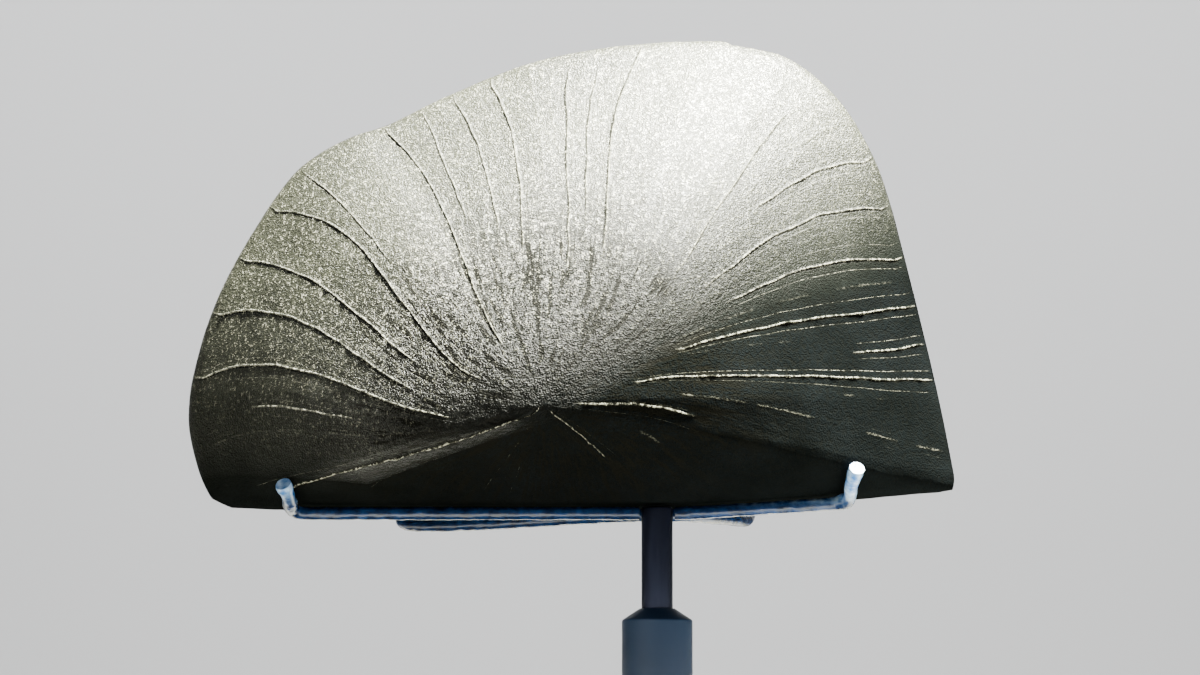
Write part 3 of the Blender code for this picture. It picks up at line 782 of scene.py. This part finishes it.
def relief_tree():
    """Lifts the ridges off the smooth stone, and roughens it with beads, pebbles and ripples.

    The mesh's values are in mm, so the ridges' half width is too. The other sizes are in metres.
    """
    tree, given = new_tree("crust_relief", [
        ("Ridge Half Width", "NodeSocketFloat", 0.22),
        ("Ridge Height", "NodeSocketFloat", 0.5),
        ("Bead Size", "NodeSocketFloat", 1.0 * MM),
        ("Pebble Size", "NodeSocketFloat", 1.1 * MM),
        ("Pebble Height", "NodeSocketFloat", 0.20 * MM),
        ("Ripple Size", "NodeSocketFloat", 6.0 * MM),
        ("Ripple Height", "NodeSocketFloat", 0.35 * MM),
        ("Sink", "NodeSocketFloat", 0.08 * MM),
        ("Material", "NodeSocketMaterial", None),
    ])
    add = partial(add_node, tree)
    place = add("GeometryNodeInputPosition")
    normal = add("GeometryNodeInputNormal")
    aside, crest, coarse = (
        add("GeometryNodeInputNamedAttribute", {"Name": name}, data_type="FLOAT")
        for name in ("aside", "crest", "coarse")
    )
    beads, pebbles, ripples = [], [], []
    for size, lumps in (("Bead Size", beads), ("Pebble Size", pebbles), ("Ripple Size", ripples)):
        density = add(MATH, (1.0, given[size]), operation="DIVIDE")
        field = add(NOISE, {"Vector": place, "Scale": density, "Detail": 2.0})
        lumps.append(add(MATH, (field, 0.5), operation="SUBTRACT"))
    across = add(MATH, (aside,), operation="ABSOLUTE")
    across = add(MATH, (across, given["Ridge Half Width"]), operation="DIVIDE")
    ridge = add(RANGE, (across, 0.0, 1.0, MM, 0.0), interpolation_type="SMOOTHSTEP")
    ridge = add(MATH, (ridge, crest), operation="MULTIPLY")
    ridge = add(MATH, (ridge, given["Ridge Height"]), operation="MULTIPLY")
    swell = add(MATH, (beads[0], 3.6, 1.0), operation="MULTIPLY_ADD")
    pebble = add(MATH, (pebbles[0], given["Pebble Height"]), operation="MULTIPLY")
    share = add(MATH, (coarse, 1.5, 0.35), operation="MULTIPLY_ADD")
    total = add(MATH, (ripples[0], given["Ripple Height"]), operation="MULTIPLY")
    total = add(MATH, (total, given["Sink"]), operation="SUBTRACT")
    total = add(MATH, (pebble, share, total), operation="MULTIPLY_ADD")
    total = add(MATH, (ridge, swell, total), operation="MULTIPLY_ADD")
    offset = add("ShaderNodeVectorMath", {0: normal, "Scale": total}, operation="SCALE")
    moved = add("GeometryNodeSetPosition", {"Geometry": given["Geometry"], "Offset": offset})
    end_tree(tree, moved, given["Material"])
    return tree


def sleeve_tree():
    """Turns a path into a sleeve over a rod, which puckers along it and bunches up at places."""
    tree, given = new_tree("wrinkled_sleeve", [
        ("Radius", "NodeSocketFloat", ARM_RADIUS * MM),
        ("Ring Spacing", "NodeSocketFloat", 0.35 * MM),
        ("Pucker Size", "NodeSocketFloat", 1.6 * MM),
        ("Pucker Height", "NodeSocketFloat", 0.3 * MM),
        ("Foot Height", "NodeSocketFloat", STONE_FOOT * MM),
        ("Material", "NodeSocketMaterial", None),
    ])
    add = partial(add_node, tree)
    spaced = {"Curve": given["Geometry"], "Length": given["Ring Spacing"]}
    path = add("GeometryNodeResampleCurve", spaced, mode="LENGTH")
    circle = {"Resolution": ARM_SIDES, "Radius": given["Radius"]}
    ring = add("GeometryNodeCurvePrimitiveCircle", circle)
    width = add("GeometryNodeInputRadius")
    swept = {"Curve": path, "Profile Curve": ring, "Scale": width, "Fill Caps": True}
    tube = add("GeometryNodeCurveToMesh", swept)
    place = add("GeometryNodeInputPosition")
    normal = add("GeometryNodeInputNormal")
    density = add(MATH, (1.0, given["Pucker Size"]), operation="DIVIDE")
    folds = add(NOISE, {"Vector": place, "Scale": density, "Detail": 3.0, "Distortion": 0.6})
    lift = add(MATH, (folds, 0.62), operation="SUBTRACT")
    lift = add(MATH, (lift, given["Pucker Height"]), operation="MULTIPLY")
    offset = add("ShaderNodeVectorMath", {0: normal, "Scale": lift}, operation="SCALE")
    moved = add("GeometryNodeSetPosition", {"Geometry": tube, "Offset": offset})
    smooth = add("GeometryNodeSetShadeSmooth", (moved,))
    # The prongs are what stands above the stone's foot, so the material knows them by their height, to
    # paint them as lit and the bars below them as shaded.
    height = add("ShaderNodeSeparateXYZ", (place,), out="Z")
    height = add(MATH, (height, given["Foot Height"]), operation="SUBTRACT")
    prong_light = add(RANGE, (height, -0.6 * MM, 2.2 * MM), interpolation_type="SMOOTHSTEP")
    mark = {"Geometry": smooth, "Name": "prong", "Value": prong_light}
    marked = add("GeometryNodeStoreNamedAttribute", mark, data_type="FLOAT", domain="POINT")
    end_tree(tree, marked, given["Material"])
    return tree


def grown(name, source, tree, values):
    """The plain mesh that a tree makes from an object, as a new object."""
    carrier = bpy.data.objects.new(name + "_source", source)
    bpy.context.scene.collection.objects.link(carrier)
    modifier = carrier.modifiers.new("grow", "NODES")
    modifier.node_group = tree
    items = [item for item in tree.interface.items_tree if item.in_out == "INPUT"]
    sockets = {item.name: item.identifier for item in items}
    for label, value in values.items():
        modifier[sockets[label]] = value
    bpy.context.view_layer.update()
    evaluated = carrier.evaluated_get(bpy.context.evaluated_depsgraph_get())
    mesh = bpy.data.meshes.new_from_object(evaluated)
    mesh.name = name
    bpy.data.objects.remove(carrier)
    made = bpy.data.objects.new(name, mesh)
    bpy.context.scene.collection.objects.link(made)
    return made


def stand_off(surface, x, z, side, distance):
    """The point that far out from a surface of the stone; side is -1 in front and 1 behind."""
    here = surface(x, z)
    aside, above = surface(x + PROBE_STEP, z), surface(x, z + PROBE_STEP)
    normal = (here - aside).cross(above - here).normalized()
    if normal.y * side < 0.0:
        normal.negate()
    return here + normal * distance


def foot_height(x):
    """How high the foot's edge is over its flat, at that x."""
    right = [corner for corner in RIM_CORNERS_BELOW if corner[0] > 0.0]
    return float(np.interp(x, [c[0] for c in reversed(right)], [c[1] for c in reversed(right)]))


def arm_height(x):
    """How high a front arm's middle lies there, measured from the foot."""
    return foot_height(x) - GAP - ARM_RADIUS


def prong(surface, x, side, tip):
    """Points up a prong beside the stone, from the foot's edge to its tip."""
    edge = foot_height(x) + PRONG_START
    heights = [edge + (tip - edge) * i / (PRONG_POINTS - 1) for i in range(PRONG_POINTS)]
    return [tuple(stand_off(surface, x, z, side, ARM_RADIUS + PRONG_CLEARANCE)) for z in heights]


def eased(route):
    """The route with its sharp turns eased, so that a rod can follow it."""
    for _ in range(EASING_ROUNDS):
        threes = zip(route, route[1:], route[2:])
        middle = [tuple(float(a + 2 * b + c) / 4 for a, b, c in zip(*three)) for three in threes]
        route = [tuple(route[0]), *middle, tuple(route[-1])]
    return route


def front_arm(x, tip):
    """A front arm's route: straight out from the stem under the stone, then forwards to its prong."""
    heading = 1.0 if x > 0.0 else -1.0
    start = heading * (STEM_RADIUS + GAP)
    places = [start + (x - start) * k / ARM_POINTS for k in range(ARM_POINTS)]
    places.append(x - heading * ARM_TURN)
    run = [(place, 0.0, arm_height(place)) for place in places]
    return eased(smooth_route([*run, *prong(front_at, x, -1, tip)], ROUTE_STEPS))


def rear_yoke():
    """The yoke's route: from the left prong, behind the stem, to the right prong."""
    behind = STEM_RADIUS + GAP + ARM_RADIUS
    level = -GAP - ARM_RADIUS
    sunk = level - YOKE_SAG
    left_edge = RIM_Y + FOOT_BACK * float(foot_share(REAR_LEFT_X, 0.0))
    right_edge = RIM_Y + FOOT_BACK * float(foot_share(REAR_RIGHT_X, 0.0))
    middle = [
        (REAR_LEFT_X + 0.6, left_edge - 1.4, sunk),
        (-24.0, 15.5, sunk + 0.2),
        (-10.0, 7.6, level - 0.1),
        (-1.0, behind + 0.1, level),
        (5.0, behind + 2.4, level),
        (10.5, 12.0, level),
        (REAR_RIGHT_X - 0.3, right_edge - 2.0, level),
    ]
    left = prong(back_at, REAR_LEFT_X, 1, REAR_TIP)
    right = prong(back_at, REAR_RIGHT_X, 1, REAR_TIP)
    return eased(smooth_route([*reversed(left), *middle, *right], ROUTE_STEPS))


def path_curve(name, points, bunches):
    """A path as a curve that is thicker where the sleeve bunches up."""
    curve = bpy.data.curves.new(name + "_path", "CURVE")
    curve.dimensions = "3D"
    line = curve.splines.new("POLY")
    line.points.add(len(points) - 1)
    last = len(points) - 1
    for i, place in enumerate(points):
        line.points[i].co = (*((Vector(place) + Vector((0.0, 0.0, STONE_FOOT))) * MM), 1.0)
        extra = 0.0
        for middle, more in bunches:
            extra += more * math.exp(-(((i / last - middle) / BUNCH_WIDTH) ** 2))
        line.points[i].radius = 1.0 + extra
    return curve


def turned_mesh(name, profile, sides):
    """A closed solid turned about Z, from (radius, height) pairs that start and end on the axis."""
    places, faces, rings = [], [], []
    for radius, height in profile:
        count = sides if radius > 0.0 else 1
        rings.append(range(len(places), len(places) + count))
        turns = [math.tau * k / sides for k in range(count)]
        places += [(radius * MM * math.cos(t), radius * MM * math.sin(t), height * MM) for t in turns]
    for low, high in zip(rings, rings[1:]):
        for k in range(sides):
            lower = (low[k % len(low)], low[(k + 1) % len(low)])
            upper = (high[(k + 1) % len(high)], high[k % len(high)])
            faces.append(tuple(dict.fromkeys(lower + upper)))
    mesh = bpy.data.meshes.new(name)
    mesh.from_pydata(places, [], faces)
    mesh.update()
    mesh.shade_smooth()
    mesh.set_sharp_from_angle(angle=math.radians(SHARP_TURN))
    made = bpy.data.objects.new(name, mesh)
    bpy.context.scene.collection.objects.link(made)
    return made


def rounded(corners, radius):
    """A profile with each inner corner replaced by a short arc."""
    made = [corners[0]]
    for before, here, after in zip(corners, corners[1:], corners[2:]):
        before, here, after = (np.array(p, float) for p in (before, here, after))
        into, out = before - here, after - here
        before_length, after_length = np.linalg.norm(into), np.linalg.norm(out)
        cut = min(radius, ROUNDING_SHARE * before_length, ROUNDING_SHARE * after_length)
        start, end = here + into / before_length * cut, here + out / after_length * cut
        for share in (0.0, 0.25, 0.5, 0.75, 1.0):
            point = (1 - share) ** 2 * start + 2 * share * (1 - share) * here + share**2 * end
            made.append((float(point[0]), float(point[1])))
    return [*made, corners[-1]]


def finish_piece(made, node, material):
    if not made.data.materials:
        made.data.materials.append(material)
    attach(made, "root")
    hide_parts(node)


def build_object():
    crust, sleeve = crust_material(), sleeve_material()
    steel, paint = steel_material(), paint_material()
    stone = grown("meteorite_stone", stone_mesh(), relief_tree(), {"Material": crust})
    finish_piece(stone, "meteorite", crust)
    wrap = sleeve_tree()
    arms = (
        ("front_left_arm", front_arm(FRONT_LEFT_X, FRONT_LEFT_TIP), LEFT_BUNCHES),
        ("front_right_arm", front_arm(FRONT_RIGHT_X, FRONT_RIGHT_TIP), RIGHT_BUNCHES),
        ("rear_yoke", rear_yoke(), ()),
    )
    for node, points, bunches in arms:
        made = grown(node + "_sleeve", path_curve(node, points, bunches), wrap, {"Material": sleeve})
        finish_piece(made, node, sleeve)
    base = ((0.0, 0.0), (BASE_RADIUS, 0.0), (BASE_RADIUS, BASE_HEIGHT), (0.0, BASE_HEIGHT))
    disc = turned_mesh("base_disc", rounded(base, BASE_EDGE), BASE_SIDES)
    finish_piece(disc, "base_plate", paint)
    socket_radius, socket_floor = STEM_RADIUS + SOCKET_PLAY, POST_TOP - SOCKET_DEPTH
    post = (
        (0.0, BASE_HEIGHT + GAP),
        (POST_RADIUS, BASE_HEIGHT + GAP),
        (POST_RADIUS, POST_SHOULDER),
        (socket_radius, POST_TOP),
        (socket_radius, socket_floor),
        (0.0, socket_floor),
    )
    column = turned_mesh("mount_post", rounded(post, POST_EDGE), POST_SIDES)
    finish_piece(column, "post", paint)
    stem_low, stem_high = socket_floor + GAP, STONE_FOOT - GAP
    stem = ((0.0, stem_low), (STEM_RADIUS, stem_low), (STEM_RADIUS, stem_high), (0.0, stem_high))
    rod = turned_mesh("mount_stem", rounded(stem, STEM_EDGE), STEM_SIDES)
    finish_piece(rod, "stem", steel)


def add_light(name, place, target, size, power, spread, colour):
    data = bpy.data.lights.new(name, "AREA")
    data.shape = "RECTANGLE"
    data.size, data.size_y = (length * MM for length in size)
    data.energy = power
    data.color = colour
    data.spread = math.radians(spread)
    light = bpy.data.objects.new(name, data)
    light.location = Vector(place) * MM
    light.rotation_euler = (Vector(target) - Vector(place)).to_track_quat("-Z", "Y").to_euler()
    bpy.context.scene.collection.objects.link(light)


def plain_sheet(name, corners, colour):
    mesh = bpy.data.meshes.new(name)
    mesh.from_pydata([Vector(corner) * MM for corner in corners], [], [(0, 1, 2, 3)])
    material, _, shader = new_material(name)
    shader.inputs["Base Color"].default_value = srgb(colour)
    shader.inputs["Roughness"].default_value = 0.9
    mesh.materials.append(material)
    made = bpy.data.objects.new(name, mesh)
    bpy.context.scene.collection.objects.link(made)
    return made


def build_stage():
    left, right = -STAGE_HALF, STAGE_HALF
    flat = [(left, left, 0.0), (right, left, 0.0), (right, right, 0.0), (left, right, 0.0)]
    upright = [(x, WALL_Y, WALL_LOW) for x in (left, right)]
    upright += [(x, WALL_Y, WALL_HIGH) for x in (right, left)]
    floor = plain_sheet("pale floor", flat, "#a09f9b")
    wall = plain_sheet("pale backdrop", upright, "#c9cacb")
    add_light("key", *KEY)
    add_light("fill", *FILL)
    add_light("wall light", *WALL)
    world = bpy.data.worlds.new("soft room")
    world.use_nodes = True
    background = world.node_tree.nodes["Background"]
    background.inputs["Color"].default_value = ROOM_COLOUR
    background.inputs["Strength"].default_value = ROOM_STRENGTH
    bpy.context.scene.world = world


def build_camera():
    data = bpy.data.cameras.new("camera")
    data.sensor_width = SENSOR
    data.lens = SENSOR * CAMERA_DISTANCE / PICTURE_WIDTH
    data.clip_start = CLIP_START * MM
    camera = bpy.data.objects.new("camera", data)
    back = Vector((0.0, -math.cos(CAMERA_RISE), math.sin(CAMERA_RISE)))
    camera.location = (Vector(CAMERA_TARGET) + back * CAMERA_DISTANCE) * MM
    camera.rotation_euler = (-back).to_track_quat("-Z", "Y").to_euler()
    bpy.context.scene.collection.objects.link(camera)
    bpy.context.scene.camera = camera


build_object()
build_stage()
build_camera()
